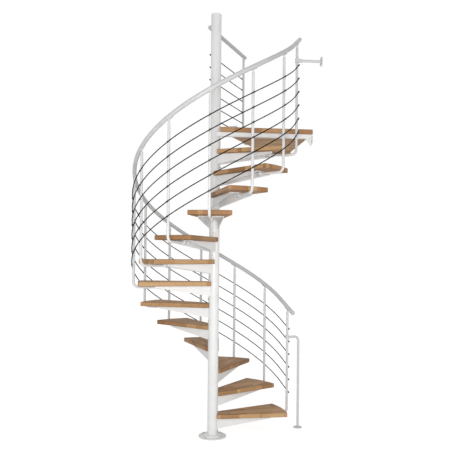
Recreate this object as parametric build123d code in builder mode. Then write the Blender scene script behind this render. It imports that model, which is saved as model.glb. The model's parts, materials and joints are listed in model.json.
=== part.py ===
from build123d import *
import math
import os

# Spiral staircase with a steel column, beech treads on folded brackets, bent balusters,
# a helical handrail with cables, and a landing at the top.
# Millimetres and degrees. The origin is the centre of the base flange's underside, +Z is up,
# and +X is square to the wall that the landing and its strut are fixed to.

# Stair as a whole
floor_to_floor = 3010.0
first_rise = 222.0
tread_count = 13
treads_per_turn = 13
first_tread_angle = 13.6
fit_gap = 0.3
cut_overrun = 20.0

# Column and base flange
column_diameter = 101.6
column_wall = 4.0
column_above_landing = 1113.0
cap_thickness = 6.0
cap_rounding = 3.0
base_diameter = 270.0
base_thickness = 10.0
base_rounding = 2.0
collar_diameter = 178.0
collar_height = 14.0
collar_rounding = 5.0
base_bolt_circle = 224.0
base_bolt_count = 4
base_bolt_hole = 14.0

# Treads
tread_thickness = 42.0
tread_end_half_angle = 15.2
tread_root_reach = 30.0
tread_root_half_width = 62.0
tread_rounding = 4.0

# Folded tread brackets, open below
bracket_reach = 566.0
bracket_sheet = 4.0
bracket_fold = 5.0
bracket_root_half_width = 39.0
bracket_tip_half_width = 115.0
bracket_root_depth = 95.0
bracket_tip_depth = 18.0

# Balusters
rod_diameter = 25.0
rod_bend = 50.0
rod_rounding = 4.0
baluster_circle_radius = 778.0
baluster_standoff = 42.0
baluster_foot_start = 450.0

# Thin neck and saddle between each baluster and the handrail
neck_diameter = 12.0
neck_drop = 49.0
saddle_length = 60.0
saddle_width = 20.0
saddle_thickness = 5.0

# Handrail and cables of the stair
handrail_diameter = 40.0
handrail_height = 1023.0
handrail_rounding = 9.0
handrail_low_overhang = 110.0
handrail_high_overhang = 130.0
rail_straight_angle = 10.0
cable_diameter = 8.0
cable_sides = 6
cable_count = 6
cable_top_height = 800.0
cable_spacing = 128.8
cable_overhang = 23.0
helix_bends = 20
helix_bend_share = 0.9

# Fixing discs, alike on the floor prop, the wall strut and the landing beam
disc_diameter = 90.0
disc_thickness = 8.0
disc_rounding = 2.0
disc_bolt_circle = 66.0
disc_bolt_count = 4
disc_bolt_hole = 7.0

# Clamps that hold the prop and the strut to a baluster
clamp_diameter = 36.0
clamp_length = 44.0

# Floor prop beside the first baluster
prop_standoff = 138.0
prop_lead_angle = 1.6
prop_height = 715.0

# Wall strut on the last baluster
strut_drop = 177.0
strut_wall_distance = 1008.0
strut_sleeve_diameter = 34.0
strut_sleeve_length = 50.0

# Landing deck and its beam
landing_thickness = 48.0
landing_rounding = 4.0
landing_front_distance = 77.0
landing_wall_distance = 954.0
landing_wall_skew = 1.0
landing_depth = 1000.0
landing_free_edge_distance = 77.0
landing_free_edge_angle = 61.6
beam_height = 40.0
beam_width = 40.0
beam_wall = 3.0
beam_setback = 10.0
beam_disc_drop = 30.0
gusset_length = 56.0
gusset_height = 78.0
gusset_thickness = 8.0

# Landing railing, parallel to the free edge and behind the column
landing_rail_column_gap = 3.0
landing_rail_height = 1007.0
landing_rail_length = 966.0
landing_post_near = 75.0
landing_post_far = 914.0
landing_foot_overlap = 120.0
landing_cable_top_height = 756.0
landing_cable_spacing = 124.5
landing_cable_lead = 28.0

# Worked out from the sizes above
full_turn = 360.0
rise = (floor_to_floor - first_rise) / tread_count
step_angle = full_turn / treads_per_turn
column_radius = column_diameter / 2
rod_radius = rod_diameter / 2
handrail_radius = handrail_diameter / 2
cable_radius = cable_diameter / 2
disc_radius = disc_diameter / 2
tread_reach = baluster_circle_radius - baluster_standoff
strut_height = handrail_height - strut_drop
rail_run = math.radians(step_angle) * baluster_circle_radius
rail_slope = math.degrees(math.atan2(rise, rail_run))
straight_from = first_tread_angle + rail_straight_angle
straight_to = first_tread_angle + (tread_count - 1) * step_angle - rail_straight_angle
helix_half_step = (straight_to - straight_from) / helix_bends / 2
straight_rate = rise / step_angle * helix_half_step / math.tan(math.radians(helix_half_step))
foot_level = -tread_thickness - bracket_sheet - rod_radius - fit_gap
cable_circle_radius = baluster_circle_radius + rod_radius + cable_radius + fit_gap
column_top = floor_to_floor + column_above_landing
landing_underside = floor_to_floor - landing_thickness
landing_rail_distance = column_radius + handrail_radius + landing_rail_column_gap


def save(piece, name):
    """Label a finished piece and write it under its node's name."""
    piece.label = name
    export_step(piece, f"parts/{name}.step")


def tread_angle(index):
    """Direction of a tread's centre line; the first tread has index 0."""
    return first_tread_angle + index * step_angle


def tread_top(index):
    """Height of a tread's walking surface."""
    return first_rise + index * rise


def level_plane(index, height):
    """Level plane on the column's axis, X along the tread, at a height above the tread."""
    return Plane((0, 0, tread_top(index) + height)).rotated((0, 0, tread_angle(index)))


def side_plane(index):
    """Upright plane along a tread: X runs outwards, Y runs up from the tread's top."""
    angle = math.radians(tread_angle(index))
    outwards = (math.cos(angle), math.sin(angle), 0)
    across = (math.sin(angle), -math.cos(angle), 0)
    return Plane((0, 0, tread_top(index)), x_dir=outwards, z_dir=across)


def circle_point(radius, angle, height):
    """Point at a radius and an angle about the column."""
    turn = math.radians(angle)
    return Vector(radius * math.cos(turn), radius * math.sin(turn), height)


def helix_level(angle):
    """Height of the line that climbs through the middles of the treads' tops."""
    return tread_top(0) + (angle - first_tread_angle) / step_angle * rise


def rail_angle(index):
    """Angle on the helix whose direction the handrail has over a baluster."""
    return min(max(tread_angle(index), straight_from), straight_to)


def baluster_reach(index):
    """Distance of a baluster from the axis; the first and last stand under the rail's straight ends."""
    return baluster_circle_radius / math.cos(math.radians(tread_angle(index) - rail_angle(index)))


def rail_level(index):
    """Height of the handrail's middle line over a baluster."""
    straight_turn = math.radians(tread_angle(index) - rail_angle(index))
    return helix_level(rail_angle(index)) + handrail_height + straight_rate * math.tan(straight_turn)


def rail_seat_plane(index):
    """Slanting plane that just clears the handrail's underside over a baluster, X along the rail."""
    heading = math.radians(rail_angle(index))
    slope = math.radians(rail_slope)
    ahead = Vector(-math.sin(heading), math.cos(heading), 0)
    overhead = Vector(0, 0, 1)
    along = ahead * math.cos(slope) + overhead * math.sin(slope)
    upwards = overhead * math.cos(slope) - ahead * math.sin(slope)
    middle = circle_point(baluster_reach(index), tread_angle(index), rail_level(index))
    return Plane(middle - upwards * (handrail_radius + fit_gap), x_dir=along, z_dir=upwards)


def helix_corners(radius, height, low_overhang, high_overhang):
    """Corners of a route that climbs round the column and runs out straight past the end balusters.

    Rounded with helix_bend, the route is a helix made of tangent arcs. Its inner corners stand a
    little further out than the radius, so that the arcs lie on it.
    """
    corner_radius = radius / math.cos(math.radians(helix_half_step))
    corners = []
    for half_steps in (0, *range(1, 2 * helix_bends, 2), 2 * helix_bends):
        angle = straight_from + half_steps * helix_half_step
        at_end = half_steps in (0, 2 * helix_bends)
        reach = radius if at_end else corner_radius
        corners.append(circle_point(reach, angle, helix_level(angle) + height))
    straight = radius * math.tan(math.radians(rail_straight_angle))
    level_share = math.cos(math.radians(rail_slope))
    corners[0] += (corners[0] - corners[1]).normalized() * ((straight + low_overhang) / level_share)
    corners[-1] += (corners[-1] - corners[-2]).normalized() * ((straight + high_overhang) / level_share)
    return corners


def helix_bend(corners):
    """Radius of the arcs that take most of each run of a climbing route."""
    run = corners[2] - corners[1]
    turn = math.radians(run.get_angle(corners[3] - corners[2]))
    return helix_bend_share * run.length / 2 / math.tan(turn / 2)


def landing_station(station, distance, height):
    """Point beside the landing's free edge: along it, and out from the column's axis to the left."""
    along = math.radians(landing_free_edge_angle)
    x = station * math.cos(along) - distance * math.sin(along)
    y = station * math.sin(along) + distance * math.cos(along)
    return Vector(x, y, floor_to_floor + height)


def fixing_disc(face_plane):
    """Fixing disc with its bolt holes, its outer face on the plane and its body behind it."""
    first_bolt = full_turn / disc_bolt_count / 2
    with BuildPart() as disc:
        with BuildSketch(face_plane):
            Circle(disc_radius)
            with PolarLocations(disc_bolt_circle / 2, disc_bolt_count, start_angle=first_bolt):
                Circle(disc_bolt_hole / 2, mode=Mode.SUBTRACT)
        extrude(amount=-disc_thickness)
        rims = disc.edges().group_by(SortBy.LENGTH)[-1]
        fillet(rims.sort_by_distance(face_plane.origin)[-1], radius=disc_rounding)
    return disc.part


def make_column():
    """Round steel column, a tube that stands on the base flange."""
    with BuildPart() as column:
        with BuildSketch(Plane.XY.offset(base_thickness)):
            Circle(column_radius)
            Circle(column_radius - column_wall, mode=Mode.SUBTRACT)
        extrude(amount=column_top - base_thickness)
    save(column.part, "column")


def make_column_cap():
    """Cap on the column's end, with a rounded rim."""
    with BuildPart() as cap:
        with BuildSketch(Plane.XY.offset(column_top)):
            Circle(column_radius)
        extrude(amount=cap_thickness)
        fillet(cap.edges().group_by(Axis.Z)[-1], radius=cap_rounding)
    save(cap.part, "column_cap")


def make_base_flange():
    """Floor flange: a bolted disc with a raised collar round the column's foot."""
    first_bolt = full_turn / base_bolt_count / 2
    with BuildPart() as base:
        with BuildSketch():
            Circle(base_diameter / 2)
        extrude(amount=base_thickness)
        fillet(base.edges().group_by(Axis.Z)[-1], radius=base_rounding)
        with BuildSketch(Plane.XY.offset(base_thickness)):
            Circle(collar_diameter / 2)
            Circle(column_radius + fit_gap, mode=Mode.SUBTRACT)
        extrude(amount=collar_height)
        rim = base.edges().group_by(Axis.Z)[-1].sort_by(SortBy.LENGTH)[-1]
        fillet(rim, radius=collar_rounding)
        with BuildSketch():
            with PolarLocations(base_bolt_circle / 2, base_bolt_count, start_angle=first_bolt):
                Circle(base_bolt_hole / 2)
        extrude(amount=base_thickness, mode=Mode.SUBTRACT)
    save(base.part, "base_flange")


def make_tread(index):
    """Beech tread: straight sides, round outer end, hollow inner end round the column."""
    end_angle = math.radians(tread_end_half_angle)
    corner_reach = tread_reach * math.cos(end_angle)
    corner_half_width = tread_reach * math.sin(end_angle)
    with BuildPart() as tread:
        with BuildSketch(level_plane(index, -tread_thickness)):
            with BuildLine():
                Polyline(
                    (corner_reach, -corner_half_width),
                    (tread_root_reach, -tread_root_half_width),
                    (tread_root_reach, tread_root_half_width),
                    (corner_reach, corner_half_width),
                )
                ThreePointArc(
                    (corner_reach, corner_half_width),
                    (tread_reach, 0),
                    (corner_reach, -corner_half_width),
                )
            make_face()
            Circle(column_radius + fit_gap, mode=Mode.SUBTRACT)
        extrude(amount=tread_thickness)
        rims = tread.edges().group_by(Axis.Z)
        fillet(rims[0] + rims[-1], radius=tread_rounding)
    save(tread.part, f"tread_{index + 1:02d}")


def make_bracket(index):
    """Folded steel bracket under a tread: a top plate and two cheeks that taper to the tip."""
    flare = (bracket_tip_half_width - bracket_root_half_width) / (bracket_reach - column_radius)
    axis_half_width = bracket_root_half_width - flare * column_radius
    inner_reach = bracket_reach + cut_overrun
    inner_axis_half_width = axis_half_width - bracket_sheet
    inner_tip_half_width = inner_axis_half_width + flare * inner_reach
    with BuildPart() as bracket:
        with BuildSketch(level_plane(index, -tread_thickness)):
            Polygon(
                (0, -axis_half_width),
                (bracket_reach, -bracket_tip_half_width),
                (bracket_reach, bracket_tip_half_width),
                (0, axis_half_width),
                align=None,
            )
        extrude(amount=-bracket_root_depth)
        folds = bracket.edges().group_by(Axis.Z)[-1].sort_by(SortBy.LENGTH)[-2:]
        fillet(folds, radius=bracket_fold)
        with BuildSketch(level_plane(index, -tread_thickness - bracket_sheet)):
            Polygon(
                (0, -inner_axis_half_width),
                (inner_reach, -inner_tip_half_width),
                (inner_reach, inner_tip_half_width),
                (0, inner_axis_half_width),
                align=None,
            )
        extrude(amount=-bracket_root_depth, mode=Mode.SUBTRACT)
        with BuildSketch(side_plane(index)):
            Polygon(
                (0, -tread_thickness),
                (bracket_reach, -tread_thickness),
                (bracket_reach, -tread_thickness - bracket_tip_depth),
                (column_radius, -tread_thickness - bracket_root_depth),
                (0, -tread_thickness - bracket_root_depth),
                align=None,
            )
        extrude(amount=bracket_tip_half_width, both=True, mode=Mode.INTERSECT)
        with BuildSketch(level_plane(index, -tread_thickness)):
            Circle(column_radius + fit_gap)
        extrude(amount=-bracket_root_depth, mode=Mode.SUBTRACT)
    save(bracket.part, f"bracket_{index + 1:02d}")


def make_baluster(index):
    """Bent rod with a foot under the tread; a thin neck and a saddle on its top carry the handrail."""
    reach = baluster_reach(index)
    top = rail_level(index) - tread_top(index) - neck_drop
    with BuildPart() as baluster:
        with BuildLine(side_plane(index)) as route:
            FilletPolyline(
                (baluster_foot_start, foot_level),
                (reach, foot_level),
                (reach, top),
                radius=rod_bend,
            )
        with BuildSketch(Plane(route.wire() @ 0, z_dir=route.wire() % 0)):
            Circle(rod_radius)
        sweep()
        fillet(baluster.edges().group_by(Axis.Z)[-1], radius=rod_rounding)
        with BuildSketch(level_plane(index, top)):
            with Locations((reach, 0)):
                Circle(neck_diameter / 2)
        extrude(amount=neck_drop)
        split(bisect_by=rail_seat_plane(index), keep=Keep.BOTTOM)
        with BuildSketch(rail_seat_plane(index)):
            Rectangle(saddle_length, saddle_width)
        extrude(amount=-saddle_thickness)
    save(baluster.part, f"baluster_{index + 1:02d}")


def make_handrail():
    """Helical tube over the balusters, with rounded ends."""
    corners = helix_corners(
        baluster_circle_radius, handrail_height, handrail_low_overhang, handrail_high_overhang
    )
    with BuildPart() as handrail:
        with BuildLine() as route:
            FilletPolyline(*corners, radius=helix_bend(corners))
        with BuildSketch(Plane(route.wire() @ 0, z_dir=route.wire() % 0)):
            Circle(handrail_radius)
        sweep()
        fillet(handrail.faces().filter_by(GeomType.PLANE).edges(), radius=handrail_rounding)
    save(handrail.part, "handrail")


def make_stair_cables():
    """Helical cables on the outside of the balusters, each a spacing below the one above."""
    corners = helix_corners(cable_circle_radius, cable_top_height, cable_overhang, cable_overhang)
    with BuildPart() as cable:
        with BuildLine() as route:
            FilletPolyline(*corners, radius=helix_bend(corners))
        with BuildSketch(Plane(route.wire() @ 0, z_dir=route.wire() % 0)):
            RegularPolygon(cable_radius, cable_sides)
        sweep()
    with BuildPart() as cables:
        with Locations(*[(0, 0, -level * cable_spacing) for level in range(cable_count)]):
            add(cable.part)
    save(cables.part, "stair_cables")


def make_floor_prop():
    """Rod on a foot disc that bends over to a clamp on the first baluster."""
    height = tread_top(0) + prop_height
    foot = circle_point(baluster_reach(0) + prop_standoff, first_tread_angle + prop_lead_angle, 0)
    held = circle_point(baluster_reach(0), first_tread_angle, height)
    foot_disc = fixing_disc(Plane(foot, z_dir=(0, 0, -1)))
    with BuildPart() as prop:
        with BuildLine() as route:
            FilletPolyline(foot, (foot.X, foot.Y, height), held, radius=rod_bend)
        with BuildSketch(Plane(foot)):
            Circle(rod_radius)
        sweep()
        add(foot_disc)
        with BuildSketch(Plane(held - (0, 0, clamp_length / 2))):
            Circle(clamp_diameter / 2)
        extrude(amount=clamp_length)
        with BuildSketch(Plane(held - (0, 0, clamp_length))):
            Circle(rod_radius + fit_gap)
        extrude(amount=2 * clamp_length, mode=Mode.SUBTRACT)
    save(prop.part, "floor_prop")


def make_wall_strut():
    """Level rod from a sleeved clamp on the last baluster to a wall disc."""
    last = tread_count - 1
    held = circle_point(baluster_reach(last), tread_angle(last), tread_top(last) + strut_height)
    wall = Vector(strut_wall_distance, held.Y, held.Z)
    wall_disc = fixing_disc(Plane(wall, z_dir=(1, 0, 0)))
    with BuildPart() as strut:
        with BuildSketch(Plane(held, z_dir=(1, 0, 0))):
            Circle(rod_radius)
        extrude(amount=wall.X - held.X)
        with BuildSketch(Plane(held, z_dir=(1, 0, 0))):
            Circle(strut_sleeve_diameter / 2)
        extrude(amount=strut_sleeve_length)
        add(wall_disc)
        with BuildSketch(Plane(held - (0, 0, clamp_length / 2))):
            Circle(clamp_diameter / 2)
        extrude(amount=clamp_length)
        with BuildSketch(Plane(held - (0, 0, clamp_length))):
            Circle(rod_radius + fit_gap)
        extrude(amount=2 * clamp_length, mode=Mode.SUBTRACT)
    save(strut.part, "wall_strut")


def free_edge_x(y):
    """Where the landing's free edge lies at a distance behind the column's axis."""
    along = math.radians(landing_free_edge_angle)
    return (landing_free_edge_distance + y * math.cos(along)) / math.sin(along)


def make_landing_deck():
    """Beech landing: front edge over the beam, one edge to the wall, a slanting free edge by the column."""
    front = -landing_front_distance
    back = front + landing_depth
    wall_back = landing_wall_distance - landing_depth * math.tan(math.radians(landing_wall_skew))
    with BuildPart() as deck:
        with BuildSketch(Plane.XY.offset(landing_underside)):
            Polygon(
                (free_edge_x(front), front),
                (landing_wall_distance, front),
                (wall_back, back),
                (free_edge_x(back), back),
                align=None,
            )
        extrude(amount=landing_thickness)
        rims = deck.edges().group_by(Axis.Z)
        fillet(rims[0] + rims[-1], radius=landing_rounding)
    save(deck.part, "landing_deck")


def make_landing_beam():
    """Square tube under the landing's front edge, from the column to a gusset and its wall disc."""
    middle_y = -landing_front_distance + beam_setback + beam_width / 2
    middle_z = landing_underside - beam_height / 2
    disc_face = Plane((landing_wall_distance, middle_y, middle_z - beam_disc_drop), z_dir=(1, 0, 0))
    wall_disc = fixing_disc(disc_face)
    beam_end = landing_wall_distance - disc_thickness
    with BuildPart() as beam:
        with BuildSketch(Plane((0, middle_y, middle_z), x_dir=(0, 1, 0), z_dir=(1, 0, 0))):
            Rectangle(beam_width, beam_height)
            Rectangle(beam_width - 2 * beam_wall, beam_height - 2 * beam_wall, mode=Mode.SUBTRACT)
        extrude(amount=beam_end)
        with BuildSketch(Plane.XY.offset(landing_underside)):
            Circle(column_radius + fit_gap)
        extrude(amount=-beam_height, mode=Mode.SUBTRACT)
        gusset_corner = (beam_end, middle_y, landing_underside - beam_height)
        with BuildSketch(Plane(gusset_corner, x_dir=(1, 0, 0), z_dir=(0, -1, 0))):
            Polygon((0, 0), (-gusset_length, 0), (0, -gusset_height), align=None)
        extrude(amount=gusset_thickness / 2, both=True)
        add(wall_disc)
    save(beam.part, "landing_beam")


def make_landing_posts():
    """Two bent posts: each foot lies on the deck, each upright ends under the landing's handrail."""
    foot_height = rod_radius + fit_gap
    top_height = landing_rail_height - handrail_radius - fit_gap
    foot_distance = -landing_free_edge_distance - landing_foot_overlap
    with BuildPart() as posts:
        for station in (landing_post_near, landing_post_far):
            with BuildLine() as route:
                FilletPolyline(
                    landing_station(station, foot_distance, foot_height),
                    landing_station(station, landing_rail_distance, foot_height),
                    landing_station(station, landing_rail_distance, top_height),
                    radius=rod_bend,
                )
            with BuildSketch(Plane(route.wire() @ 0, z_dir=route.wire() % 0)):
                Circle(rod_radius)
            sweep(path=route.wire())
    save(posts.part, "landing_posts")


def make_landing_handrail():
    """Straight handrail of the landing, with rounded ends."""
    start = landing_station(0, landing_rail_distance, landing_rail_height)
    end = landing_station(landing_rail_length, landing_rail_distance, landing_rail_height)
    with BuildPart() as rail:
        with BuildSketch(Plane(start, z_dir=end - start)):
            Circle(handrail_radius)
        extrude(amount=landing_rail_length)
        fillet(rail.edges().filter_by(GeomType.CIRCLE), radius=handrail_rounding)
    save(rail.part, "landing_handrail")


def make_landing_cables():
    """Six straight cables on the outer side of the landing's posts."""
    distance = landing_rail_distance + rod_radius + cable_radius + fit_gap
    first = landing_post_near - landing_cable_lead
    last = landing_post_far + landing_cable_lead
    with BuildPart() as cables:
        for level in range(cable_count):
            height = landing_cable_top_height - level * landing_cable_spacing
            start = landing_station(first, distance, height)
            end = landing_station(last, distance, height)
            with BuildSketch(Plane(start, z_dir=end - start)):
                RegularPolygon(cable_radius, cable_sides)
            extrude(amount=last - first)
    save(cables.part, "landing_cables")


os.makedirs("parts", exist_ok=True)
make_column()
make_column_cap()
make_base_flange()
for step in range(tread_count):
    make_tread(step)
    make_bracket(step)
    make_baluster(step)
make_handrail()
make_stair_cables()
make_floor_prop()
make_wall_strut()
make_landing_deck()
make_landing_beam()
make_landing_posts()
make_landing_handrail()
make_landing_cables()
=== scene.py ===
"""Dress the spiral staircase: powder-coated steel, laminated beech, dark cables, small fittings."""
import json
import logging
import math
from dataclasses import dataclass
from enum import Enum
from itertools import product
from typing import Iterable, Sequence, Union

import bpy
from mathutils import Matrix, Vector


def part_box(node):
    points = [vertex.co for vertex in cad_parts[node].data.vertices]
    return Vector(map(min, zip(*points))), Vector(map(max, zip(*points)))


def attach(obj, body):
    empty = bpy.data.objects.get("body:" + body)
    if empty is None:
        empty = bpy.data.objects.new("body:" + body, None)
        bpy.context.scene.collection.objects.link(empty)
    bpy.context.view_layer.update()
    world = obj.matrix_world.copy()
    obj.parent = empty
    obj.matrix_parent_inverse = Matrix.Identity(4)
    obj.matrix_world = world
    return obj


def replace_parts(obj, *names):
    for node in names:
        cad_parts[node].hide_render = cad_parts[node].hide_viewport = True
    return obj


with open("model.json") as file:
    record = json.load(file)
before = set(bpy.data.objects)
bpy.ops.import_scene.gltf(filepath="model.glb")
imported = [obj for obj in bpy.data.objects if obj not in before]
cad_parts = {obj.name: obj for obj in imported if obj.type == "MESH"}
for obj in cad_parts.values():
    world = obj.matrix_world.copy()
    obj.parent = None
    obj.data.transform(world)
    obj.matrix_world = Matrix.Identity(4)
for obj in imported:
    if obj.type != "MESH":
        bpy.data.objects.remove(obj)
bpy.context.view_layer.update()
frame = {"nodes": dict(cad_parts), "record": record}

LOG = logging.getLogger("staircase")
BODY = "root"
UP = Vector((0.0, 0.0, 1.0))
SIDEWAYS = Vector((1.0, 0.0, 0.0))
STEEP = 0.9
HANDS = (-1.0, 1.0)
HEXAGON = 6
TREAD_COUNT = 13
IMAGE_SIDE = 454.0
SENSOR_WIDTH = 36.0

Pair = tuple[float, float]
Pairs = tuple[Pair, ...]
Triple = tuple[float, float, float]
Colour = tuple[float, float, float, float]
Number = Union[float, "Value"]
Finish = bpy.types.Material


class Slot(Enum):
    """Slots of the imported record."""

    STEEL = "white_steel"
    CABLE = "cable_steel"


class Value:
    """A shader socket that takes part in Python arithmetic."""

    def __init__(self, graph: "NodeGraph", socket: bpy.types.NodeSocket) -> None:
        """Keep the socket and the graph that it belongs to."""
        self.graph = graph
        self.socket = socket

    def _math(self, operation: str, first: Number, second: Number = 0.0) -> "Value":
        """Result of one Math node."""
        return self.graph.node("ShaderNodeMath", {"operation": operation}, {0: first, 1: second})

    def __add__(self, other: Number) -> "Value":
        """Sum of the two."""
        return self._math("ADD", self, other)

    __radd__ = __add__

    def __sub__(self, other: Number) -> "Value":
        """This less the other."""
        return self._math("SUBTRACT", self, other)

    def __rsub__(self, other: Number) -> "Value":
        """The other less this."""
        return self._math("SUBTRACT", other, self)

    def __mul__(self, other: Number) -> "Value":
        """Product of the two."""
        return self._math("MULTIPLY", self, other)

    __rmul__ = __mul__

    def __truediv__(self, other: Number) -> "Value":
        """This over the other."""
        return self._math("DIVIDE", self, other)

    def floor(self) -> "Value":
        """Whole part."""
        return self._math("FLOOR", self)

    def fraction(self) -> "Value":
        """Part after the point."""
        return self._math("FRACT", self)

    def wave(self) -> "Value":
        """Sine of the value."""
        return self._math("SINE", self)

    def zigzag(self, height: float) -> "Value":
        """Triangle wave that runs from zero to a height and back."""
        return self._math("PINGPONG", self, height)

    def step(self, low: float, high: float) -> "Value":
        """Smooth step from zero at low to one at high."""
        inputs = {"Value": self, "From Min": low, "From Max": high}
        return self.graph.node("ShaderNodeMapRange", {"interpolation_type": "SMOOTHSTEP"}, inputs)


class NodeGraph:
    """The node tree of one material or of the world."""

    MIX_LOW, MIX_HIGH, MIX_RESULT = 6, 7, 2

    def __init__(self, owner: Finish | bpy.types.World) -> None:
        """Empty the owner's node tree.

        Args:
            owner: the material or the world.
        """
        owner.use_nodes = True
        self.owner = owner
        self.tree = owner.node_tree
        self.tree.nodes.clear()

    @classmethod
    def of_material(cls, name: str) -> "NodeGraph":
        """Start a new material of that name."""
        return cls(bpy.data.materials.new(name))

    def node(
        self,
        kind: str,
        settings: dict[str, object] | None = None,
        inputs: dict[int | str, object] | None = None,
        output: int | str = 0,
    ) -> Value:
        """Add any node.

        Args:
            kind: the node's type.
            settings: its properties, set first; stops are position and colour of a ramp's stops.
            inputs: values or links of its sockets, by name or number.
            output: which of its outputs is wanted.

        Returns:
            That output.
        """
        made = self.tree.nodes.new(kind)
        for name, setting in (settings or {}).items():
            if name != "stops":
                setattr(made, name, setting)
                continue
            while len(made.color_ramp.elements) < len(setting):
                made.color_ramp.elements.new(1.0)
            for element, (position, colour) in zip(made.color_ramp.elements, setting):
                element.position = position
                element.color = colour
        for name, value in (inputs or {}).items():
            if isinstance(value, Value):
                self.tree.links.new(value.socket, made.inputs[name])
            else:
                made.inputs[name].default_value = value
        return Value(self, made.outputs[output] if made.outputs else None)

    def mix(self, factor: Number, low: object, high: object) -> Value:
        """Mix of two colours; the factor is the share of the second."""
        inputs = {0: factor, self.MIX_LOW: low, self.MIX_HIGH: high}
        return self.node("ShaderNodeMix", {"data_type": "RGBA"}, inputs, self.MIX_RESULT)

    def vector_math(self, operation: str, first: Value, second: object) -> Value:
        """Result of one Vector Math node."""
        return self.node("ShaderNodeVectorMath", {"operation": operation}, {0: first, 1: second})

    def place(self, turn: float = 0.0, shift: Triple = (0.0, 0.0, 0.0)) -> Value:
        """Position on the piece, turned about the upright axis and then shifted.

        Args:
            turn: angle that the position is turned back by.
            shift: what is added to the turned position.

        Returns:
            The position as a vector.
        """
        here = self.node("ShaderNodeTexCoord", output="Object")
        back = {"Vector": here, "Angle": -turn}
        turned = self.node("ShaderNodeVectorRotate", {"rotation_type": "Z_AXIS"}, back)
        return self.vector_math("ADD", turned, shift)

    def axis(self, place: Value, name: str) -> Value:
        """One coordinate of a position."""
        return self.node("ShaderNodeSeparateXYZ", inputs={0: place}, output=name)

    def vector(self, x: Number, y: Number, z: Number) -> Value:
        """Vector of three values."""
        return self.node("ShaderNodeCombineXYZ", inputs={0: x, 1: y, 2: z})

    def noise(self, place: Value, scale: float, detail: float = 2.0, roughness: float = 0.5) -> Value:
        """Grey noise of about 0 to 1, with so many features to a unit of the position."""
        inputs = {"Vector": place, "Scale": scale, "Detail": detail, "Roughness": roughness}
        return self.node("ShaderNodeTexNoise", inputs=inputs)

    def chance(self, place: Value) -> Value:
        """One random value for each whole-number position."""
        return self.node("ShaderNodeTexWhiteNoise", inputs={"Vector": place}, output="Value")

    def bump(self, height: Number, strength: float, distance: float) -> Value:
        """Normal bent by a height, where a height of 1 stands for the distance."""
        inputs = {"Strength": strength, "Distance": distance, "Height": height}
        return self.node("ShaderNodeBump", inputs=inputs)

    def close(self, **inputs: object) -> Finish:
        """End the material in one main shader; underscores in its sockets' names stand for blanks."""
        named = {name.replace("_", " "): value for name, value in inputs.items()}
        return self.surface(self.node("ShaderNodeBsdfPrincipled", inputs=named))

    def surface(self, shader: Value) -> Finish:
        """Join a shader to the material's output and hand the material over."""
        self.node("ShaderNodeOutputMaterial", inputs={"Surface": shader})
        return self.owner


@dataclass(frozen=True)
class PowderCoat:
    """Satin powder coat with faint clouds and a fine orange peel."""

    name: str
    colour: Colour
    shade: Colour
    roughness: float = 0.33
    metallic: float = 0.0
    specular: float = 0.30
    cloud_scale: float = 9.0
    cloud_edges: Pair = (0.35, 0.75)
    cloud_roughness: float = 0.10
    peel_scale: float = 700.0
    peel_roughness: float = 0.06
    peel_strength: float = 0.05
    peel_height: float = 0.0004

    def make(self) -> Finish:
        """Build the material.

        Returns:
            The material.
        """
        graph = NodeGraph.of_material(self.name)
        here = graph.place()
        cloud = graph.noise(here, self.cloud_scale, detail=3.0)
        peel = graph.noise(here, self.peel_scale, detail=1.0)
        uneven = self.cloud_roughness * (cloud - 0.5)
        return graph.close(
            Base_Color=graph.mix(cloud.step(*self.cloud_edges), self.colour, self.shade),
            Roughness=self.roughness + uneven + self.peel_roughness * (peel - 0.5),
            Metallic=self.metallic,
            Normal=graph.bump(peel, self.peel_strength, self.peel_height),
            Specular_IOR_Level=self.specular,
        )


@dataclass(frozen=True)
class Fitting(PowderCoat):
    """Finish of a small fitting: moulded black clips, dark screws or bright zinc bolts."""

    specular: float = 0.5
    cloud_scale: float = 120.0
    cloud_edges: Pair = (0.45, 0.75)
    cloud_roughness: float = 0.15
    peel_scale: float = 1800.0
    peel_roughness: float = 0.08
    peel_strength: float = 0.15
    peel_height: float = 0.0002


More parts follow.
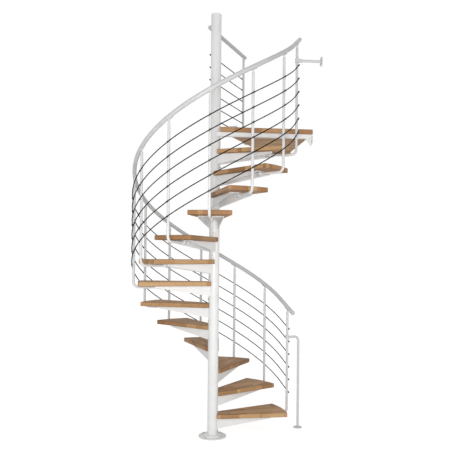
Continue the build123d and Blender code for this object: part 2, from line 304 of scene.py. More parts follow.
@dataclass(frozen=True)
class Beech:
    """Oiled beech, laminated from finger-jointed staves that run along one direction."""

    pale: Colour = (0.56, 0.355, 0.182, 1.0)
    middle: Colour = (0.43, 0.252, 0.118, 1.0)
    dark: Colour = (0.28, 0.146, 0.062, 1.0)
    rosy: Colour = (0.44, 0.21, 0.10, 1.0)
    pore: Colour = (0.20, 0.095, 0.04, 1.0)
    # Painted shade: the edge colour darkens the rounded edges between upright and level faces, standing
    # for the shade and dark line along them.
    edge: Colour = (0.11, 0.055, 0.027, 1.0)
    tone_stops: Triple = (0.18, 0.50, 0.86)
    tone_share: float = 0.64
    grain_share: float = 0.44
    tone_drop: float = 0.04
    rosy_share: float = 0.22
    fleck_share: float = 0.30
    seam_share: float = 0.35
    joint_share: float = 0.30
    painted_edge_shade_share: float = 0.80
    upright_faces: Pair = (0.02, 0.20)
    level_faces: Pair = (0.85, 0.97)
    stave_width: float = 0.043
    stave_length: float = 0.27
    first_seam: float = 0.37
    stave_scatter: float = 7.0
    seed_shift: float = 0.31
    row_salt: float = 3.0
    warm_salt: float = 11.0
    finger_pitch: float = 0.0065
    finger_depth: float = 0.010
    joint_width: float = 0.0008
    grain_stretch: Triple = (3.0, 46.0, 46.0)
    grain_drift: Pair = (5.0, 3.0)
    grain_scale: float = 1.6
    grain_fineness: float = 0.62
    fleck_stretch: Triple = (130.0, 1500.0, 1500.0)
    fleck_edges: Pair = (0.66, 0.76)
    grain_relief: float = 0.6
    fleck_relief: float = 0.5
    seam_relief: float = 0.8
    relief_strength: float = 0.22
    relief_height: float = 0.0006
    roughness: float = 0.56
    grain_roughness: float = 0.16
    fleck_roughness: float = 0.10
    specular: float = 0.2

    def make(self, name: str, turn: float, seed: float, tone_shift: float = 0.0) -> Finish:
        """Build the material of one board.

        Args:
            name: the material's name.
            turn: direction of the staves, as an angle about the upright axis.
            seed: number that gives the board its own staves.
            tone_shift: how much paler than usual the board is.

        Returns:
            The material.
        """
        graph = NodeGraph.of_material(name)
        here = graph.place(turn, (0.0, self.stave_width * self.first_seam, 0.0))
        along, across = graph.axis(here, "X"), graph.axis(here, "Y")
        row = across / self.stave_width
        row_number = row.floor()
        scatter = graph.chance(graph.vector(row_number, seed, self.row_salt)) * self.stave_scatter
        finger = (across / self.finger_pitch).zigzag(1.0) * self.finger_depth
        run = (along + finger) / self.stave_length + scatter + seed * self.seed_shift
        tone = graph.chance(graph.vector(row_number, run.floor(), seed))
        warm = graph.chance(graph.vector(run.floor(), row_number, seed + self.warm_salt))
        drift = graph.vector(tone * self.grain_drift[0], warm * self.grain_drift[1], seed)
        stretched = graph.vector_math("MULTIPLY", here, self.grain_stretch)
        grain_place = graph.vector_math("ADD", stretched, drift)
        grain = graph.noise(grain_place, self.grain_scale, detail=5.0, roughness=self.grain_fineness)
        fleck_place = graph.vector_math("MULTIPLY", here, self.fleck_stretch)
        fleck = graph.noise(fleck_place, 1.0, detail=1.0).step(*self.fleck_edges)
        seam = self.meeting(row, self.stave_width)
        joint = self.meeting(run, self.stave_length)
        blend = tone * self.tone_share + grain * self.grain_share - self.tone_drop + tone_shift
        stops = list(zip(self.tone_stops, (self.dark, self.middle, self.pale)))
        wood = graph.node("ShaderNodeValToRGB", {"stops": stops}, {"Fac": blend})
        warmed = graph.mix(self.rosy_share * warm, wood, self.rosy)
        flecked = graph.mix(self.fleck_share * fleck, warmed, self.pore)
        lined = graph.mix(self.seam_share * seam + self.joint_share * joint, flecked, self.pore)
        slope = graph.axis(graph.node("ShaderNodeNewGeometry", output="True Normal"), "Z")
        flatness = slope * slope
        # Mask of the rounded edges that take the painted edge shade.
        rounded = flatness.step(*self.upright_faces) - flatness.step(*self.level_faces)
        relief = grain * self.grain_relief - fleck * self.fleck_relief - seam * self.seam_relief
        uneven = self.grain_roughness * (grain - 0.5) + self.fleck_roughness * fleck
        return graph.close(
            Base_Color=graph.mix(self.painted_edge_shade_share * rounded, lined, self.edge),
            Roughness=self.roughness + uneven,
            Normal=graph.bump(relief, self.relief_strength, self.relief_height),
            Specular_IOR_Level=self.specular,
        )

    def meeting(self, count: Value, pitch: float) -> Value:
        """Mask of the thin line between two staves, at each whole number of a count of staves."""
        off_middle = count.fraction() - 0.5
        return (off_middle * off_middle).step(0.5 ** 2 - self.joint_width / pitch, 0.5 ** 2)


@dataclass(frozen=True)
class CableSteel:
    """Dark grey steel cable with the slant of its strands."""

    colour: Colour = (0.003, 0.003, 0.003, 1.0)
    worn: Colour = (0.009, 0.009, 0.009, 1.0)
    strands: float = 7.0
    lay_length: float = 0.045
    strand_wear: float = 0.55
    strand_strength: float = 0.5
    strand_height: float = 0.0005
    dust_scale: float = 60.0
    dust_wear: float = 0.25
    roughness: float = 0.65
    dust_roughness: float = 0.15
    specular: float = 0.02

    def make(self) -> Finish:
        """Build the material; U of the map runs round the cable and V along it, in metres.

        Returns:
            The material.
        """
        graph = NodeGraph.of_material("dark_cable")
        laid = graph.node("ShaderNodeUVMap", {"uv_map": Draft.MAP})
        turns = graph.axis(laid, "X") + graph.axis(laid, "Y") / self.lay_length
        strand = (turns * (math.tau * self.strands)).wave() * 0.5 + 0.5
        dust = graph.noise(graph.place(), self.dust_scale, detail=2.0)
        wear = strand * self.strand_wear + dust * self.dust_wear
        return graph.close(
            Base_Color=graph.mix(wear, self.colour, self.worn),
            Roughness=self.roughness + self.dust_roughness * dust,
            Specular_IOR_Level=self.specular,
            Normal=graph.bump(strand, self.strand_strength, self.strand_height),
        )


@dataclass(frozen=True)
class PaleFloor:
    """Pale floor that reads as white to the camera and keeps the stair's shadow."""

    colour: Colour = (0.95, 0.95, 0.95, 1.0)
    glow: float = 0.80
    shadow_colour: Colour = (0.42, 0.42, 0.42, 1.0)

    def make(self) -> Finish:
        """Build the material.

        Returns:
            The material.
        """
        graph = NodeGraph.of_material("pale_floor")
        plain = graph.node("ShaderNodeBsdfDiffuse", inputs={"Color": self.colour})
        soft = graph.node("ShaderNodeBsdfDiffuse", inputs={"Color": self.shadow_colour})
        white = graph.node("ShaderNodeEmission", inputs={"Strength": self.glow})
        seen = graph.node("ShaderNodeAddShader", inputs={0: soft, 1: white})
        mixed = graph.node("ShaderNodeMixShader", inputs={0: seen_rays(graph), 1: plain, 2: seen})
        return graph.surface(mixed)


def seen_rays(graph: NodeGraph) -> Value:
    """One for rays from the camera, a mirror or glass, and zero for light that is only gathered.

    Args:
        graph: the graph that asks.

    Returns:
        The sum of the three ray tests.
    """
    camera = graph.node("ShaderNodeLightPath", output="Is Camera Ray")
    glossy = graph.node("ShaderNodeLightPath", output="Is Glossy Ray")
    through = graph.node("ShaderNodeLightPath", output="Is Transmission Ray")
    return camera + glossy + through


def grey(level: float) -> Colour:
    """Neutral colour of that level."""
    return (level, level, level, 1.0)


def heading(angle: float) -> Vector:
    """Level unit vector at an angle about the upright axis."""
    return Vector((math.cos(angle), math.sin(angle), 0.0))


def numbered(stem: str) -> list[str]:
    """Names of the nodes that come once for each tread, in order."""
    return [f"{stem}_{number:02d}" for number in range(1, TREAD_COUNT + 1)]


def circle(centre: Vector, way: Vector, radius: float, sides: int) -> list[Vector]:
    """Ring of points about a centre.

    Args:
        centre: the ring's centre.
        way: direction that it faces.
        radius: its radius.
        sides: number of points.

    Returns:
        The points, in order.
    """
    facing = way.normalized()
    right = (UP if abs(facing.z) < STEEP else SIDEWAYS).cross(facing).normalized()
    over = facing.cross(right)
    ring = []
    for side in range(sides):
        angle = math.tau * side / sides
        ring.append(centre + right * (radius * math.cos(angle)) + over * (radius * math.sin(angle)))
    return ring


class Draft:
    """Points and faces of one joined mesh, with a map round and along its tubes."""

    MAP = "Lay"
    SHARP_ANGLE = math.radians(35.0)
    SCREW_SINK = 0.001
    SCREW_SHARES = ((0.22, 1.0), (0.52, 0.74), (0.62, 0.35))
    END_STEPS = 6
    END_CLEARANCE = 1.3

    def __init__(self) -> None:
        """Start an empty draft."""
        self.points: list[Vector] = []
        self.faces: list[tuple[int, ...]] = []
        self.laid: list[list[Pair]] = []

    def loft(
        self, rings: Sequence[Sequence[Vector]], lengths: Sequence[float], capped: bool = True
    ) -> None:
        """Skin a row of rings that have as many points each.

        Args:
            rings: the rings, in order.
            lengths: distance along the piece at each ring.
            capped: whether the ends are closed.
        """
        base = len(self.points)
        sides = len(rings[0])
        for ring in rings:
            self.points.extend(ring)
        for level in range(len(rings) - 1):
            low = base + level * sides
            near, far = lengths[level], lengths[level + 1]
            for side in range(sides):
                after = (side + 1) % sides
                self.faces.append((low + side, low + after, low + sides + after, low + sides + side))
                left, right = side / sides, (side + 1) / sides
                self.laid.append([(left, near), (right, near), (right, far), (left, far)])
        if capped:
            last = base + (len(rings) - 1) * sides
            self.faces.append(tuple(range(base + sides - 1, base - 1, -1)))
            self.faces.append(tuple(range(last, last + sides)))
            self.laid.extend([[(0.0, 0.0)] * sides] * 2)

    def tube(self, path: Sequence[Vector], radii: Sequence[float], sides: int) -> None:
        """Round tube along a path of upright-steered rings.

        Args:
            path: centre line.
            radii: radius at each point.
            sides: points to a ring.
        """
        rings = []
        lengths = [0.0]
        for index, centre in enumerate(path):
            before = path[max(index - 1, 0)]
            after = path[min(index + 1, len(path) - 1)]
            if index:
                lengths.append(lengths[-1] + (centre - path[index - 1]).length)
            rings.append(circle(centre, after - before, radii[index], sides))
        self.loft(rings, lengths)

    def rounded_tube(self, path: Sequence[Vector], radius: float, rounding: float, sides: int) -> None:
        """Tube whose ends are rounded off within its length.

        Args:
            path: centre line from end to end.
            radius: the tube's radius.
            rounding: radius of the end's round edge.
            sides: points to a ring.
        """
        start_way = (path[1] - path[0]).normalized()
        end_way = (path[-1] - path[-2]).normalized()
        turns = [0.5 * math.pi * step / self.END_STEPS for step in range(self.END_STEPS + 1)]
        depths = [rounding * (1.0 - math.sin(turn)) for turn in turns]
        sizes = [radius - rounding * (1.0 - math.cos(turn)) for turn in turns]
        start = [path[0] + start_way * depth for depth in depths[::-1]]
        end = [path[-1] - end_way * depth for depth in depths]
        tips = (path[0], path[-1])
        clear = self.END_CLEARANCE * rounding
        middle = [point for point in path if min((point - tip).length for tip in tips) > clear]
        self.tube(start + middle + end, sizes[::-1] + [radius] * len(middle) + sizes, sides)

    def turned(self, profile: Sequence[Pair], foot: Vector, axis: Vector, sides: int) -> None:
        """Turned piece.

        Args:
            profile: height along the axis and radius of each ring.
            foot: where height is zero.
            axis: direction of height.
            sides: points to a ring; six give a bolt's head.
        """
        way = axis.normalized()
        rings = [circle(foot + way * height, way, radius, sides) for height, radius in profile]
        self.loft(rings, [height for height, _ in profile])

    def screw(self, foot: Vector, axis: Vector, radius: float, sides: int) -> None:
        """Low round screw head that is let a little into its seat."""
        head = [(height * radius, width * radius) for height, width in self.SCREW_SHARES]
        self.turned([(-self.SCREW_SINK, radius), *head], foot, axis, sides)

    def make(self, name: str, material: Finish, slot: Slot = Slot.STEEL) -> bpy.types.Object:
        """Turn the draft into a piece of the stair.

        Args:
            name: the piece's name.
            material: its finish.
            slot: not used.

        Returns:
            The piece, riding on the stair.
        """
        mesh = bpy.data.meshes.new(name)
        mesh.from_pydata([tuple(point) for point in self.points], [], self.faces)
        lay = mesh.uv_layers.new(name=self.MAP)
        corners = [corner for face in self.laid for corner in face]
        lay.data.foreach_set("uv", [number for corner in corners for number in corner])
        mesh.materials.append(material)
        mesh.shade_smooth()
        mesh.set_sharp_from_angle(angle=self.SHARP_ANGLE)
        piece = bpy.data.objects.new(name, mesh)
        bpy.context.scene.collection.objects.link(piece)
        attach(piece, BODY)
        LOG.info("%s: %d faces", name, len(self.faces))
        return piece


def dress(nodes: Iterable[str], material: Finish) -> None:
    """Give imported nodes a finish.

    Args:
        nodes: names of the nodes.
        material: the finish.
    """
    for name in nodes:
        mesh = frame["nodes"][name].data
        mesh.materials.clear()
        mesh.materials.append(material)
        LOG.info("%s: %s", name, material.name)


@dataclass(frozen=True)
class StairLines:
    """Main lines of the stair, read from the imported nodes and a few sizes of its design."""

    tread_tops: tuple[float, ...]
    column_radius: float
    landing_top: float
    first_angle: float = math.radians(13.6)
    treads_per_turn: int = 13
    baluster_radius: float = 0.778
    rod_radius: float = 0.0125
    rail_radius: float = 0.020
    cable_radius: float = 0.0047
    cable_sides: int = 10
    cable_count: int = 6
    fit_gap: float = 0.0003
    straight: float = math.radians(10.0)

    @classmethod
    def read(cls) -> "StairLines":
        """Take the heights and the column's size from the frame.

        Returns:
            The lines.
        """
        tops = tuple(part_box(f"tread_{number:02d}")[1].z for number in range(1, TREAD_COUNT + 1))
        column_low, column_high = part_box("column")
        landing_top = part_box("landing_deck")[1].z
        return cls(tops, 0.5 * (column_high.x - column_low.x), landing_top)

    @property
    def step(self) -> float:
        """Angle from one tread to the next."""
        return math.tau / self.treads_per_turn

    @property
    def rise(self) -> float:
        """Height from one tread to the next."""
        return (self.tread_tops[-1] - self.tread_tops[0]) / (TREAD_COUNT - 1)

    def angle(self, number: float) -> float:
        """Direction of a tread; the first has number 0, and parts of a step count too."""
        return self.first_angle + number * self.step

    def outwards(self, number: float) -> Vector:
        """Unit vector along a tread, away from the column."""
        return heading(self.angle(number))

    def ahead(self, number: float) -> Vector:
        """Unit vector across a tread, the way that the stair climbs."""
        return UP.cross(self.outwards(number))

    def on_tread(self, number: int, reach: float, side: float, height: float) -> Vector:
        """Point at a reach from the column's axis, ahead of a tread's middle line and above its top."""
        level = UP * (self.tread_tops[number] + height)
        return self.outwards(number) * reach + self.ahead(number) * side + level

    def on_helix(self, radius: float, number: float, height: float) -> Vector:
        """Point on a climbing line, a height above the treads."""
        return self.outwards(number) * radius + UP * (self.tread_tops[0] + number * self.rise + height)

    def bent(self, number: float) -> float:
        """Nearest place on the helix; past its ends the handrail and the cables run straight."""
        margin = self.straight / self.step
        return min(max(number, margin), TREAD_COUNT - 1 - margin)

    def grade(self, radius: float, number: float) -> Vector:
        """Direction of a climbing line, for one metre on the level."""
        return self.ahead(self.bent(number)) + UP * (self.rise / (radius * self.step))

    def at_baluster(self, radius: float, number: int, height: float) -> Vector:
        """Point on a climbing line beside a baluster."""
        past = self.baluster_radius * math.tan((number - self.bent(number)) * self.step)
        return self.on_helix(radius, self.bent(number), height) + self.grade(radius, number) * past

    def cable_levels(self, top: float, spacing: float) -> list[float]:
        """Heights of the cables, from the top one down."""
        return [top - level * spacing for level in range(self.cable_count)]

    def rail_path(self, radius: float, height: float, overhangs: Pair, rings: int) -> list[Vector]:
        """Route of the handrail or a cable from end to end.

        Args:
            radius: radius of its helix.
            height: height above the treads.
            overhangs: lengths past the first and the last baluster, on the level.
            rings: parts that the helix is divided into.

        Returns:
            Points along the route.
        """
        first, last = self.bent(0), self.bent(TREAD_COUNT - 1)
        places = [first + (last - first) * ring / rings for ring in range(rings + 1)]
        helix = [self.on_helix(radius, place, height) for place in places]
        straight = radius * math.tan(self.straight)
        start = helix[0] - self.grade(radius, first) * (straight + overhangs[0])
        end = helix[-1] + self.grade(radius, last) * (straight + overhangs[1])
        return [start, *helix, end]


@dataclass
class Column:
    """Column, cap and base flange, with the floor anchors, the weld and the brackets' screws."""

    lines: StairLines
    steel: Finish
    zinc: Finish
    bolt: Finish
    flange_top: float = 0.010
    collar_top: float = 0.024
    anchor_circle: float = 0.112
    anchor_count: int = 4
    anchor_washer: Pairs = ((0.0, 0.0135), (0.002, 0.0135), (0.0024, 0.0130))
    anchor_head: Pairs = ((0.0024, 0.0100), (0.0085, 0.0100), (0.0096, 0.0086))
    anchor_sides: int = 28
    bolt_drop: float = 0.172
    bolt_radius: float = 0.0085
    bolt_sink: float = 0.001
    bolt_sides: int = 20
    bolt_washer: Pairs = ((0.0, 1.0), (0.0045, 1.0), (0.0052, 0.92))
    bolt_head: Pairs = ((0.0045, 0.85), (0.0100, 0.85), (0.0114, 0.68))
    bead: float = 0.004
    bead_out: float = 0.4
    bead_lift: float = 0.3
    bead_ripples: int = 72
    bead_hollow: float = 0.86
    bead_sides: int = 8

    def build(self) -> None:
        """Dress the nodes and add the fittings."""
        dress(("column", "column_cap", "base_flange"), self.steel)
        self.anchors()
        self.weld()
        self.bracket_screws("screw_washers", self.bolt_washer, self.bolt)
        self.bracket_screws("screw_heads", self.bolt_head, self.steel)

    def anchors(self) -> None:
        """Add hexagon heads on washers in the flange's holes."""
        draft = Draft()
        for number in range(self.anchor_count):
            out = heading(math.tau * (number + 0.5) / self.anchor_count)
            foot = out * self.anchor_circle + UP * self.flange_top
            draft.turned(self.anchor_washer, foot, UP, self.anchor_sides)
            draft.turned(self.anchor_head, foot, UP, HEXAGON)
        draft.make("floor_anchors", self.zinc)

    def weld(self) -> None:
        """Add the rippled bead of weld round the column on the collar."""
        draft = Draft()
        radius = self.lines.column_radius + self.bead_out * self.bead
        level = UP * (self.collar_top + self.bead_lift * self.bead)
        rings = []
        for number in range(self.bead_ripples * 2):
            out = heading(math.pi * number / self.bead_ripples)
            size = self.bead * (1.0 if number % 2 else self.bead_hollow)
            rings.append(circle(out * radius + level, UP.cross(out), size, self.bead_sides))
        rings.append(rings[0])
        draft.loft(rings, [0.0] * len(rings), capped=False)
        draft.make("column_weld", self.steel)

    def bracket_screws(self, name: str, profile: Pairs, finish: Finish) -> None:
        """Add washer or head of the screw in the column below each bracket.

        Args:
            name: the piece's name.
            profile: height above the column and share of the screw's radius of each ring.
            finish: its finish.
        """
        draft = Draft()
        sized = [(height, share * self.bolt_radius) for height, share in profile]
        reach = self.lines.column_radius - self.bolt_sink
        for number in range(TREAD_COUNT):
            foot = self.lines.on_tread(number, reach, 0.0, -self.bolt_drop)
            draft.turned(sized, foot, self.lines.outwards(number), self.bolt_sides)
        draft.make(name, finish)


@dataclass
class Treads:
    """Thirteen beech treads on their folded brackets, with the screws and straps under them and painted
    slot shade.
    """

    lines: StairLines
    beech: Beech
    steel: Finish
    zinc: Finish
    # Finish of the thin dark sheets that paint the shade of the plates' slots.
    dark: Finish
    # Seed and tone shift of each board, tread 1 first; the darker shifts on the upper treads, most on
    # the ninth and tenth, are partly the beech's own tone and partly painted shade.
    boards: Pairs = (
        (2.0, 0.04), (3.0, 0.05), (21.0, -0.10), (235.0, -0.04), (6.0, -0.07),
        (126.0, -0.06), (400.0, 0.19), (94.0, 0.06), (289.0, -0.30), (292.0, -0.32),
        (63.0, -0.15), (233.0, -0.14), (82.0, 0.04),
    )
    thickness: float = 0.042
    sheet: float = 0.004
    screw_places: Pairs = ((0.16, 0.022), (0.30, 0.040), (0.44, 0.058))
    screw_radius: float = 0.006
    round_sides: int = 14
    # Place and size of the dark sheets painted as slot shade under each top plate.
    slot_reach: float = 0.510
    slot_side: float = 0.032
    slot_half: Pair = (0.020, 0.008)
    slot_depth: float = 0.0005
    slot_points: int = 20
    strap_reaches: Pair = (0.478, 0.538)
    strap_half: float = 0.011
    strap_thickness: float = 0.003
    strap_wing: float = 0.018
    strap_parts: int = 8
    bolt_side: float = 0.0115
    bolt_head: Pairs = ((0.0, 0.0065), (0.0045, 0.0065), (0.0052, 0.0056))
    nut_reaches: Pair = (0.500, 0.520)
    nut_sink: float = 0.002
    nut: Pairs = ((0.0, 0.0075), (0.0062, 0.0075), (0.0070, 0.0066))
    nut_thread: Pairs = ((0.0068, 0.0040), (0.0120, 0.0040), (0.0128, 0.0032))

    @property
    def plate(self) -> float:
        """Height of the underside of a bracket's top plate, from the tread's top."""
        return -self.thickness - self.sheet

    def build(self) -> None:
        """Dress treads and brackets and add the fasteners."""
        for number, (name, board) in enumerate(zip(numbered("tread"), self.boards)):
            dress((name,), self.beech.make(f"beech_{name}", self.lines.angle(number), *board))
        dress(numbered("bracket"), self.steel)
        self.screws()
        self.straps()
        self.bolts()
        self.slot_shade_sheets()

    def screws(self) -> None:
        """Add the screw heads on the underside of each bracket's top plate."""
        draft = Draft()
        for number, (reach, side), hand in product(range(TREAD_COUNT), self.screw_places, HANDS):
            foot = self.lines.on_tread(number, reach, hand * side, self.plate)
            draft.screw(foot, -UP, self.screw_radius, self.round_sides)
        draft.make("tread_screws", self.zinc)

    def straps(self) -> None:
        """Add two straps over each baluster's foot, held up to the bracket."""
        level, rod = self.plate, self.lines.rod_radius
        under, back = level - self.strap_thickness, rod + self.strap_thickness
        centre = level - rod - self.lines.fit_gap
        angles = [math.pi * (1.0 + part / self.strap_parts) for part in range(self.strap_parts + 1)]
        outer = [(back * math.cos(angle), centre + back * math.sin(angle)) for angle in angles]
        inner = [(rod * math.cos(angle), centre + rod * math.sin(angle)) for angle in angles]
        wing = rod + self.strap_wing
        left = [(-wing, level), (-wing, under), (-back, under)]
        right = [(back, under), (wing, under), (wing, level)]
        outline = left + outer + right + [(rod, level)] + inner[::-1] + [(-rod, level)]
        draft = Draft()
        for number, reach in product(range(TREAD_COUNT), self.strap_reaches):
            ends = [reach + hand * self.strap_half for hand in HANDS]
            rings = [[self.lines.on_tread(number, end, *spot) for spot in outline] for end in ends]
            draft.loft(rings, [0.0, 2.0 * self.strap_half])
        draft.make("foot_clamps", self.steel)

    def bolts(self) -> None:
        """Add bolt heads on both wings of each strap, and nuts on their threads under the foot."""
        draft = Draft()
        under = self.plate - self.strap_thickness
        rod = self.lines.rod_radius
        for number, reach, hand in product(range(TREAD_COUNT), self.strap_reaches, HANDS):
            foot = self.lines.on_tread(number, reach, hand * (rod + self.bolt_side), under)
            draft.turned(self.bolt_head, foot, -UP, HEXAGON)
        for number, reach in product(range(TREAD_COUNT), self.nut_reaches):
            foot = self.lines.on_tread(number, reach, 0.0, under + self.nut_sink - 2.0 * rod)
            draft.turned(self.nut, foot, -UP, HEXAGON)
            draft.turned(self.nut_thread, foot, -UP, self.round_sides)
        draft.make("foot_clamp_bolts", self.zinc)

    def slot_shade_sheets(self) -> None:
        """Add thin dark oblong sheets under each bracket's top plate, one on either side of the foot,
        as painted shade of a slot in the plate.
        """
        half_length, half_width = self.slot_half
        outline = []
        for part in range(self.slot_points):
            angle = math.tau * (part + 0.5) / self.slot_points
            reach = self.slot_reach + math.copysign(half_length - half_width, math.cos(angle))
            outline.append((reach + half_width * math.cos(angle), half_width * math.sin(angle)))
        draft = Draft()
        drops = (0.0, self.slot_depth)
        for number, hand in product(range(TREAD_COUNT), HANDS):
            spots = [(reach, hand * self.slot_side + side) for reach, side in outline]
            levels = [self.plate - drop for drop in drops]
            rings = [[self.lines.on_tread(number, *spot, level) for spot in spots] for level in levels]
            draft.loft(rings, drops)
        draft.make("bracket_slot_shade_sheets", self.dark)


@dataclass(frozen=True)
class CableFittings:
    """Black clips that hold the cables to their rods, and domed caps on the cables' ends."""

    sleeve: Pairs = (
        (-0.010, 0.00456), (-0.0086, 0.006992), (-0.005, 0.0076),
        (0.005, 0.0076), (0.0086, 0.006992), (0.010, 0.00456),
    )
    neck: Pairs = ((0.0, 0.0048), (0.0062, 0.0048), (0.0072, 0.0040))
    clip_sides: int = 14
    cap: Pairs = (
        (-0.010, 0.0060), (-0.0092, 0.0072), (0.0030, 0.0074),
        (0.0058, 0.0062), (0.0074, 0.0038), (0.0080, 0.001),
    )
    cap_sides: int = 16

    def add_clip(self, draft: Draft, centre: Vector, way: Vector, inwards: Vector) -> None:
        """Add one clip: a sleeve that lies along the cable, with a neck inwards to the rod."""
        draft.turned(self.sleeve, centre, way, self.clip_sides)
        draft.turned(self.neck, centre, inwards, self.clip_sides)

    def add_caps(self, draft: Draft, path: Sequence[Vector]) -> None:
        """Add the domed caps on both ends of a cable's path."""
        draft.turned(self.cap, path[0], path[0] - path[1], self.cap_sides)
        draft.turned(self.cap, path[-1], path[-1] - path[-2], self.cap_sides)


@dataclass
class Railing:
    """Balusters, helical handrail and cables of the stair, with clips, end caps and saddle screws."""

    lines: StairLines
    steel: Finish
    handrail_coat_painted_shade: Finish
    cable: Finish
    clip: Finish
    zinc: Finish
    fittings: CableFittings = CableFittings()
    rail_height: float = 1.023
    rail_overhangs: Pair = (0.110, 0.130)
    rail_rings: int = 280
    rail_sides: int = 32
    end_round: float = 0.012
    cable_top: float = 0.800
    cable_spacing: float = 0.1288
    cable_overhangs: Pair = (0.003, 0.017)
    cable_rings: int = 380
    saddle_thickness: float = 0.005
    screw_spread: float = 0.021
    screw_radius: float = 0.0046
    screw_sides: int = 14

    @property
    def cable_circle(self) -> float:
        """Radius of the line that the cables climb on."""
        lines = self.lines
        return lines.baluster_radius + lines.rod_radius + lines.cable_radius + lines.fit_gap

    @property
    def cable_heights(self) -> list[float]:
        """Heights of the cables above the treads."""
        return self.lines.cable_levels(self.cable_top, self.cable_spacing)

    def build(self) -> None:
        """Dress the balusters, replace handrail and cables by smooth ones, add the fittings."""
        dress(numbered("baluster"), self.steel)
        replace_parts(self.handrail().make("handrail_tube", self.handrail_coat_painted_shade, Slot.STEEL), "handrail")
        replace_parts(self.cables().make("stair_cables_laid", self.cable, Slot.CABLE), "stair_cables")
        self.clips()
        self.end_caps()
        self.saddle_screws()

    def handrail(self) -> Draft:
        """Helical tube with straight run-outs and rounded ends.

        Returns:
            The tube as a draft.
        """
        lines = self.lines
        sizes = (lines.baluster_radius, self.rail_height, self.rail_overhangs, self.rail_rings)
        path = lines.rail_path(*sizes)
        draft = Draft()
        draft.rounded_tube(path, lines.rail_radius, self.end_round, self.rail_sides)
        return draft

    def cable_paths(self) -> list[list[Vector]]:
        """Routes of the cables, from the top one down."""
        sizes = [(self.cable_circle, height, self.cable_overhangs) for height in self.cable_heights]
        return [self.lines.rail_path(*size, self.cable_rings) for size in sizes]

    def cables(self) -> Draft:
        """Six round cables on climbing lines.

        Returns:
            The cables as a draft.
        """
        draft = Draft()
        for path in self.cable_paths():
            draft.tube(path, [self.lines.cable_radius] * len(path), self.lines.cable_sides)
        return draft

    def clips(self) -> None:
        """Add a clip on each cable at each baluster."""
        draft = Draft()
        for number in range(TREAD_COUNT):
            way = self.lines.grade(self.cable_circle, number).normalized()
            inwards = -self.lines.outwards(self.lines.bent(number))
            for height in self.cable_heights:
                centre = self.lines.at_baluster(self.cable_circle, number, height)
                self.fittings.add_clip(draft, centre, way, inwards)
        draft.make("cable_clips", self.clip, Slot.CABLE)

    def end_caps(self) -> None:
        """Add caps on both ends of each cable."""
        draft = Draft()
        for path in self.cable_paths():
            self.fittings.add_caps(draft, path)
        draft.make("cable_end_caps", self.clip, Slot.CABLE)

    def saddle_screws(self) -> None:
        """Add two screw heads under the saddle of each baluster."""
        draft = Draft()
        lines = self.lines
        drop = lines.rail_radius + lines.fit_gap + self.saddle_thickness
        for number in range(TREAD_COUNT):
            way = lines.grade(lines.baluster_radius, number).normalized()
            down = way.cross(lines.outwards(lines.bent(number))).normalized()
            seat = lines.at_baluster(lines.baluster_radius, number, self.rail_height)
            for hand in HANDS:
                foot = seat + down * drop + way * (hand * self.screw_spread)
                draft.screw(foot, down, self.screw_radius, self.screw_sides)
        draft.make("saddle_screws", self.zinc)


@dataclass
class Fixings:
    """Floor prop and wall strut, and the screws of the three discs on floor and wall."""

    steel: Finish
    zinc: Finish
    disc_thickness: float = 0.008
    screw_circle: float = 0.033
    screw_count: int = 4
    screw_radius: float = 0.0056
    screw_sides: int = 16

    def build(self) -> None:
        """Dress the two nodes and screw the discs down."""
        dress(("floor_prop", "wall_strut"), self.steel)
        mounts = {mount["name"]: mount for mount in frame["record"]["mounts"]}
        draft = Draft()
        for name in ("prop_foot_face", "strut_wall_face", "landing_wall_face"):
            face, axis = Vector(mounts[name]["pos_m"]), Vector(mounts[name]["axis"])
            inner = face - axis * self.disc_thickness
            for foot in circle(inner, axis, self.screw_circle, 2 * self.screw_count)[1::2]:
                draft.screw(foot, -axis, self.screw_radius, self.screw_sides)
        draft.make("disc_screws", self.zinc)


@dataclass
class Landing:
    """Landing deck, its beam and its straight railing."""

    lines: StairLines
    beech: Beech
    steel: Finish
    rail_coat_painted_shade: Finish
    handrail_coat_painted_shade: Finish
    cable: Finish
    clip: Finish
    fittings: CableFittings = CableFittings()
    stave_turn: float = 0.0
    seed: float = 46.0
    edge_angle: float = math.radians(61.6)
    rail_gap: float = 0.003
    post_stations: Pair = (0.075, 0.914)
    cable_top: float = 0.756
    cable_spacing: float = 0.1245
    cable_leads: Pair = (0.014, 0.028)
    cable_parts: int = 8

    @property
    def cable_distance(self) -> float:
        """Distance of the cables' plane from the column's axis."""
        rail = self.lines.column_radius + self.lines.rail_radius + self.rail_gap
        return rail + self.lines.rod_radius + self.lines.cable_radius + self.lines.fit_gap

    @property
    def along(self) -> Vector:
        """Unit vector along the free edge."""
        return heading(self.edge_angle)

    @property
    def leftwards(self) -> Vector:
        """Unit vector out from the deck, square to the free edge."""
        return UP.cross(self.along)

    def spot(self, station: float, height: float) -> Vector:
        """Point on the cables' plane."""
        level = UP * (self.lines.landing_top + height)
        return self.along * station + self.leftwards * self.cable_distance + level

    def build(self) -> None:
        """Dress the nodes, lay the cables, add clips and caps."""
        dress(("landing_deck",), self.beech.make("beech_landing", self.stave_turn, self.seed))
        dress(("landing_beam",), self.steel)
        dress(("landing_posts",), self.rail_coat_painted_shade)
        dress(("landing_handrail",), self.handrail_coat_painted_shade)
        first = self.post_stations[0] - self.cable_leads[0]
        length = self.post_stations[1] + self.cable_leads[1] - first
        stations = [first + length * part / self.cable_parts for part in range(self.cable_parts + 1)]
        wires, clips = Draft(), Draft()
        for height in self.lines.cable_levels(self.cable_top, self.cable_spacing):
            path = [self.spot(station, height) for station in stations]
            wires.tube(path, [self.lines.cable_radius] * len(path), self.lines.cable_sides)
            self.fittings.add_caps(clips, path)
            for station in self.post_stations:
                self.fittings.add_clip(clips, self.spot(station, height), self.along, -self.leftwards)
        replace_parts(wires.make("landing_cables_laid", self.cable, Slot.CABLE), "landing_cables")
        clips.make("landing_cable_clips", self.clip, Slot.CABLE)


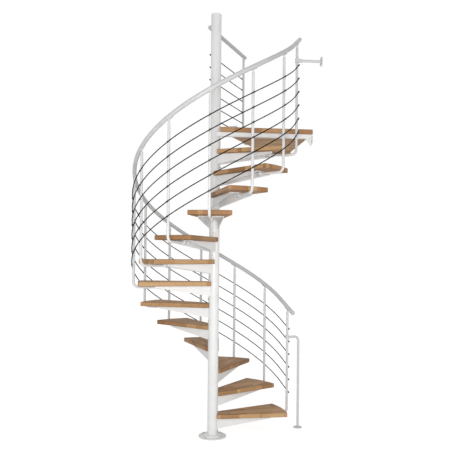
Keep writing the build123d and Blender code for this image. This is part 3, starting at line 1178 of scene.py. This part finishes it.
@dataclass
class PhotoCamera:
    """Camera at the photograph's viewpoint."""

    place: Triple = (-0.3824, -5.6363, 1.7626)
    heading: float = math.radians(5.152)
    pitch: float = math.radians(0.661)
    roll: float = math.radians(0.553)
    focal_pixels: float = 577.27
    axis_below_middle: float = 21.97
    sight: float = 200.0

    def build(self) -> None:
        """Set the camera up, turned by its heading, pitch and roll."""
        data = bpy.data.cameras.new("photo_camera")
        data.sensor_width = SENSOR_WIDTH
        data.lens = self.focal_pixels / IMAGE_SIDE * SENSOR_WIDTH
        data.shift_y = self.axis_below_middle / IMAGE_SIDE
        data.clip_end = self.sight
        camera = bpy.data.objects.new("photo_camera", data)
        turn = Matrix.Rotation(-self.heading, 4, "Z")
        lift = Matrix.Rotation(0.5 * math.pi + self.pitch, 4, "X")
        lean = Matrix.Rotation(self.roll, 4, "Z")
        camera.matrix_world = Matrix.Translation(self.place) @ turn @ lift @ lean
        bpy.context.scene.collection.objects.link(camera)
        bpy.context.scene.camera = camera


@dataclass(frozen=True)
class Lamp:
    """Square soft lamp that faces the middle of the stair."""

    name: str
    place: Triple
    side: float
    watts: float
    aim: Triple = (0.0, 0.0, 1.9)

    def hang(self) -> None:
        """Put the lamp up."""
        data = bpy.data.lights.new(self.name, "AREA")
        data.size = self.side
        data.energy = self.watts
        lamp = bpy.data.objects.new(self.name, data)
        lamp.location = self.place
        towards = Vector(self.aim) - Vector(self.place)
        lamp.rotation_euler = towards.to_track_quat("-Z", "Y").to_euler()
        bpy.context.scene.collection.objects.link(lamp)


@dataclass
class Studio:
    """White studio: pale floor, even surrounding light and soft lamps on the camera's side."""

    floor_half: float = 40.0
    floor_drop: float = 0.0008
    surround: float = 0.56
    lamps: tuple[Lamp, ...] = (
        Lamp("camera_soft_lamp", (-0.4, -5.9, 1.8), 1.0, 130.0),
        Lamp("low_soft_lamp", (0.6, -4.6, 0.15), 2.2, 15.0),
        Lamp("middle_soft_lamp", (-0.3, -2.6, 2.1), 1.0, 10.0),
    )

    def build(self) -> None:
        """Set floor, world and lamps."""
        self.floor()
        self.world()
        for lamp in self.lamps:
            lamp.hang()
        bpy.context.scene.view_settings.view_transform = "Standard"

    def floor(self) -> None:
        """Lay the floor just under the stair's feet."""
        half = self.floor_half
        corners = [(-half, -half), (half, -half), (half, half), (-half, half)]
        mesh = bpy.data.meshes.new("studio_floor")
        mesh.from_pydata([(x, y, -self.floor_drop) for x, y in corners], [], [(0, 1, 2, 3)])
        mesh.materials.append(PaleFloor().make())
        floor = bpy.data.objects.new("studio_floor", mesh)
        bpy.context.scene.collection.objects.link(floor)

    def world(self) -> None:
        """Give the world an even light, and white where it is seen."""
        graph = NodeGraph(bpy.data.worlds.new("studio_world"))
        strength = self.surround + (1.0 - self.surround) * seen_rays(graph)
        light = graph.node("ShaderNodeBackground", inputs={"Color": grey(1.0), "Strength": strength})
        graph.node("ShaderNodeOutputWorld", inputs={"Surface": light})
        bpy.context.scene.world = graph.owner


def main() -> None:
    """Build the stair's pieces in order, then the studio and the camera."""
    logging.basicConfig(level=logging.INFO, format="%(name)s: %(message)s")
    lines = StairLines.read()
    steel = PowderCoat("white_powder_coat", (0.80, 0.80, 0.797, 1.0), (0.76, 0.76, 0.757, 1.0)).make()
    # The rails' coat is the white powder coat made darker: painted shade on balusters, landing posts,
    # prop and strut.
    rail_coat_painted_shade = PowderCoat("rail_coat_darkened_for_shade", grey(0.66), grey(0.62)).make()
    # The handrails' coat is the white powder coat made darker still: painted shade on the handrails.
    handrail_coat_painted_shade = PowderCoat("handrail_coat_darkened_for_shade", grey(0.57), grey(0.53)).make()
    beech = Beech()
    cable = CableSteel().make()
    clip = Fitting("black_clip", (0.016, 0.016, 0.017, 1.0), grey(0.05), 0.45).make()
    bolt = Fitting("dark_bolt", (0.06, 0.06, 0.062, 1.0), grey(0.17), 0.38, metallic=0.8).make()
    zinc = Fitting("bright_zinc", grey(0.62), grey(0.50), 0.36, metallic=0.85).make()
    Column(lines, steel, zinc, bolt).build()
    Treads(lines, beech, steel, zinc, clip).build()
    Railing(lines, rail_coat_painted_shade, handrail_coat_painted_shade, cable, clip, zinc).build()
    Fixings(rail_coat_painted_shade, zinc).build()
    Landing(lines, beech, steel, rail_coat_painted_shade, handrail_coat_painted_shade, cable, clip).build()
    Studio().build()
    PhotoCamera().build()


if __name__ == "__main__":
    main()
